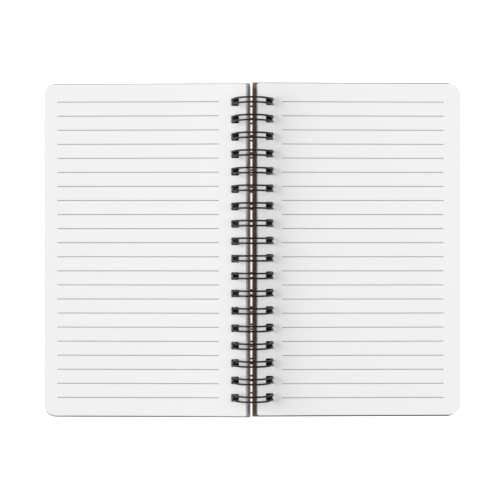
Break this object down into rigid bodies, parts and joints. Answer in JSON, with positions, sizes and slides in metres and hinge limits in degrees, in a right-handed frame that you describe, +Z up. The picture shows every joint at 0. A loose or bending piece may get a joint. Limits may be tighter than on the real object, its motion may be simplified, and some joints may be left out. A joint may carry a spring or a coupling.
{
  "type": "pocket notebook",
  "caption": "Pocket notebook lying open flat: ruled leaves between a grey front and a brown back cover, on a row of black twin wire loops.",
  "frame": {"origin": "on the table under the middle of the binding wire", "axes": "X across the spine with the left-hand pages at -X, Y along the spine towards the top of the pages, Z up"},
  "size_m": [0.2046, 0.1649, 0.0191],
  "materials": {
    "leaf_paper": "smooth uncoated",
    "front_board": "matte",
    "back_board": "matte",
    "wire_coating": "satin"
  },
  "bodies": {
    "back_cover_and_wire": {"back_cover": "back_board", "binding_wire": "wire_coating"},
    "front_cover": {"front_cover": "front_board"},
    "left_lower_leaves": {"left_leaves_01": "leaf_paper", "left_leaves_02": "leaf_paper", "left_leaves_03": "leaf_paper", "left_leaves_04": "leaf_paper", "left_leaves_05": "leaf_paper", "left_leaves_06": "leaf_paper"},
    "left_upper_leaves": {"left_leaves_07": "leaf_paper", "left_leaves_08": "leaf_paper", "left_leaves_09": "leaf_paper", "left_leaves_10": "leaf_paper", "left_leaves_11": "leaf_paper", "left_leaves_12": "leaf_paper"},
    "left_top_leaf": {"left_top_leaf": "leaf_paper"},
    "right_lower_leaves": {"right_leaves_01": "leaf_paper", "right_leaves_02": "leaf_paper", "right_leaves_03": "leaf_paper", "right_leaves_04": "leaf_paper", "right_leaves_05": "leaf_paper", "right_leaves_06": "leaf_paper"},
    "right_upper_leaves": {"right_leaves_07": "leaf_paper", "right_leaves_08": "leaf_paper", "right_leaves_09": "leaf_paper", "right_leaves_10": "leaf_paper", "right_leaves_11": "leaf_paper", "right_leaves_12": "leaf_paper"},
    "right_top_leaf": {"right_top_leaf": "leaf_paper"}
  },
  "joints": [
    {"name": "front_cover_turn", "type": "hinge", "parent": "back_cover_and_wire", "child": "front_cover", "pos_m": [0, 0, 0.00955], "axis": [0, 1, 0], "range_deg": [0, 182.69]},
    {"name": "left_leaves_turn", "type": "hinge", "parent": "front_cover", "child": "left_lower_leaves", "pos_m": [0, 0, 0.00955], "axis": [0, 1, 0], "range_deg": [0, 180]},
    {"name": "left_upper_leaves_turn", "type": "hinge", "parent": "left_lower_leaves", "child": "left_upper_leaves", "pos_m": [0, 0, 0.00955], "axis": [0, 1, 0], "range_deg": [0, 180]},
    {"name": "left_top_leaf_turn", "type": "hinge", "parent": "left_upper_leaves", "child": "left_top_leaf", "pos_m": [0, 0, 0.00955], "axis": [0, 1, 0], "range_deg": [0, 180]},
    {"name": "right_leaves_turn", "type": "hinge", "parent": "back_cover_and_wire", "child": "right_lower_leaves", "pos_m": [0, 0, 0.00955], "axis": [0, -1, 0], "range_deg": [0, 180]},
    {"name": "right_upper_leaves_turn", "type": "hinge", "parent": "right_lower_leaves", "child": "right_upper_leaves", "pos_m": [0, 0, 0.00955], "axis": [0, -1, 0], "range_deg": [0, 180]},
    {"name": "right_top_leaf_turn", "type": "hinge", "parent": "right_upper_leaves", "child": "right_top_leaf", "pos_m": [0, 0, 0.00955], "axis": [0, -1, 0], "range_deg": [0, 180]}
  ]
}
